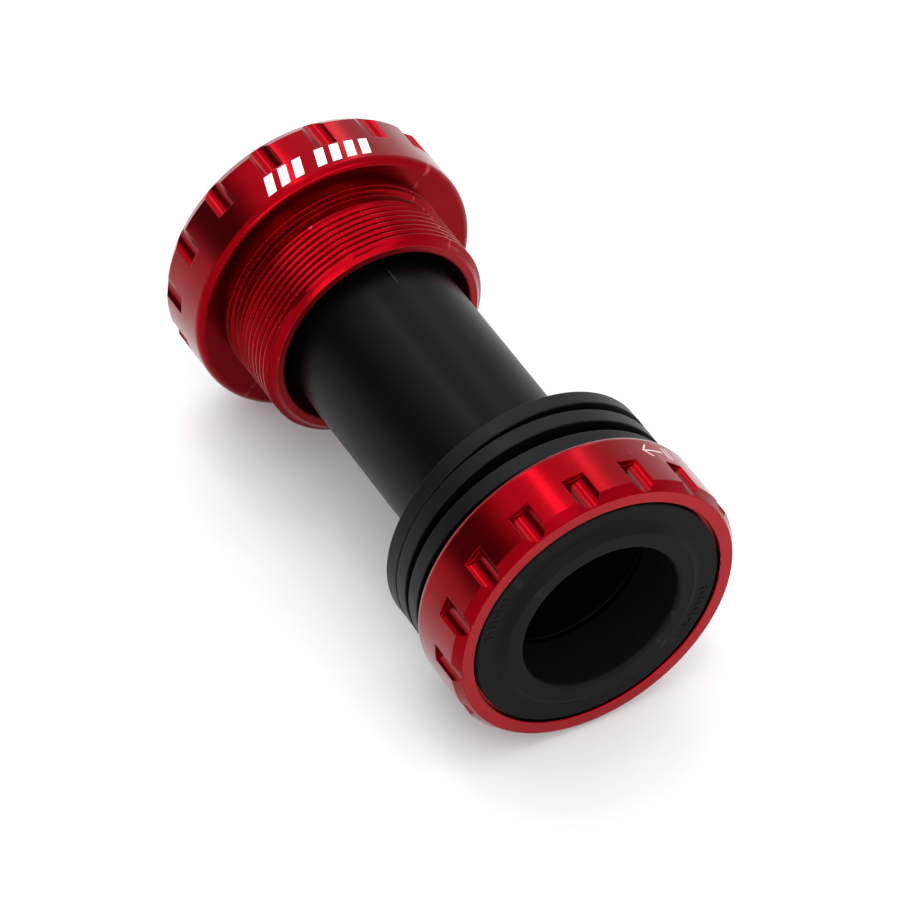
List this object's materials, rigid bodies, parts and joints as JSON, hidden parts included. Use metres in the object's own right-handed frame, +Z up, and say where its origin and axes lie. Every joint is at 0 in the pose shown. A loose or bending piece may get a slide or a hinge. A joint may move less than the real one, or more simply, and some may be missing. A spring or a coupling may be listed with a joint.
{
  "type": "bottom bracket",
  "caption": "Threaded external-cup bicycle bottom bracket: notched cups with sealed bearings, a telescoping sleeve between them and loose shell spacers.",
  "frame": {"origin": "on the spindle axis, midway between the two outer ends of the bearing caps", "axes": "+Y along the spindle axis from the drive side to the non-drive side, +Z up with the part lying on the rims of its two cups"},
  "size_m": [0.044, 0.0864, 0.044],
  "materials": {
    "anodised_red": "bright red anodised over turned aluminium",
    "sleeve_black": "satin black moulded tube",
    "spacer_black": "matte black with a fine grain",
    "cap_black": "matte black moulded",
    "bearing_steel": "ground bearing steel",
    "ball_steel": "polished ball steel",
    "cage_nylon": "natural nylon",
    "seal_rubber": "black rubber",
    "o_ring_rubber": "black rubber, lightly greased"
  },
  "bodies": {
    "drive_cup_assembly": {"drive_cup": "anodised_red", "drive_bearing_outer_ring": "bearing_steel", "drive_outboard_seal": "seal_rubber", "drive_inboard_seal": "seal_rubber"},
    "drive_rotor": {"drive_bearing_inner_ring": "bearing_steel", "drive_bearing_cap": "cap_black"},
    "drive_ball_train": {"drive_bearing_cage": "cage_nylon", "drive_ball_01": "ball_steel", "drive_ball_02": "ball_steel", "drive_ball_03": "ball_steel", "drive_ball_04": "ball_steel", "drive_ball_05": "ball_steel", "drive_ball_06": "ball_steel", "drive_ball_07": "ball_steel", "drive_ball_08": "ball_steel", "drive_ball_09": "ball_steel", "drive_ball_10": "ball_steel", "drive_ball_11": "ball_steel", "drive_ball_12": "ball_steel", "drive_ball_13": "ball_steel", "drive_ball_14": "ball_steel", "drive_ball_15": "ball_steel"},
    "sleeve_assembly": {"sleeve": "sleeve_black", "drive_sleeve_o_ring": "o_ring_rubber", "non_drive_sleeve_o_ring": "o_ring_rubber"},
    "non_drive_cup_assembly": {"non_drive_cup": "anodised_red", "non_drive_bearing_outer_ring": "bearing_steel", "non_drive_outboard_seal": "seal_rubber", "non_drive_inboard_seal": "seal_rubber"},
    "non_drive_rotor": {"non_drive_bearing_inner_ring": "bearing_steel", "non_drive_bearing_cap": "cap_black"},
    "non_drive_ball_train": {"non_drive_bearing_cage": "cage_nylon", "non_drive_ball_01": "ball_steel", "non_drive_ball_02": "ball_steel", "non_drive_ball_03": "ball_steel", "non_drive_ball_04": "ball_steel", "non_drive_ball_05": "ball_steel", "non_drive_ball_06": "ball_steel", "non_drive_ball_07": "ball_steel", "non_drive_ball_08": "ball_steel", "non_drive_ball_09": "ball_steel", "non_drive_ball_10": "ball_steel", "non_drive_ball_11": "ball_steel", "non_drive_ball_12": "ball_steel", "non_drive_ball_13": "ball_steel", "non_drive_ball_14": "ball_steel", "non_drive_ball_15": "ball_steel"},
    "inner_spacer": {"spacer_inner": "spacer_black"},
    "middle_spacer": {"spacer_middle": "spacer_black"},
    "outer_spacer": {"spacer_outer": "spacer_black"}
  },
  "joints": [
    {"name": "drive_bearing_spin", "type": "hinge", "parent": "drive_cup_assembly", "child": "drive_rotor", "pos_m": [0, -0.0376, 0], "axis": [0, 1, 0], "continuous": true},
    {"name": "drive_ball_orbit", "type": "hinge", "parent": "drive_cup_assembly", "child": "drive_ball_train", "pos_m": [0, -0.0376, 0], "axis": [0, 1, 0], "continuous": true},
    {"name": "sleeve_turn", "type": "hinge", "parent": "drive_cup_assembly", "child": "sleeve_assembly", "pos_m": [0, -0.02, 0], "axis": [0, 1, 0], "continuous": true},
    {"name": "non_drive_cup_draw", "type": "slide", "parent": "sleeve_assembly", "child": "non_drive_cup_assembly", "axis": [0, 1, 0], "range_m": [0, 0.0056]},
    {"name": "non_drive_bearing_spin", "type": "hinge", "parent": "non_drive_cup_assembly", "child": "non_drive_rotor", "pos_m": [0, 0.0376, 0], "axis": [0, 1, 0], "continuous": true},
    {"name": "non_drive_ball_orbit", "type": "hinge", "parent": "non_drive_cup_assembly", "child": "non_drive_ball_train", "pos_m": [0, 0.0376, 0], "axis": [0, 1, 0], "continuous": true},
    {"name": "spacer_inner_slide", "type": "slide", "parent": "drive_cup_assembly", "child": "inner_spacer", "axis": [0, 1, 0], "range_m": [0, 0.015]},
    {"name": "spacer_middle_slide", "type": "slide", "parent": "inner_spacer", "child": "middle_spacer", "axis": [0, 1, 0], "range_m": [0, 0.015]},
    {"name": "spacer_outer_slide", "type": "slide", "parent": "middle_spacer", "child": "outer_spacer", "axis": [0, 1, 0], "range_m": [0, 0.0165]}
  ],
  "couplings": [
    {"joint": "drive_ball_orbit", "follows": "drive_bearing_spin", "ratio": 0.4435},
    {"joint": "non_drive_ball_orbit", "follows": "non_drive_bearing_spin", "ratio": 0.4435}
  ]
}
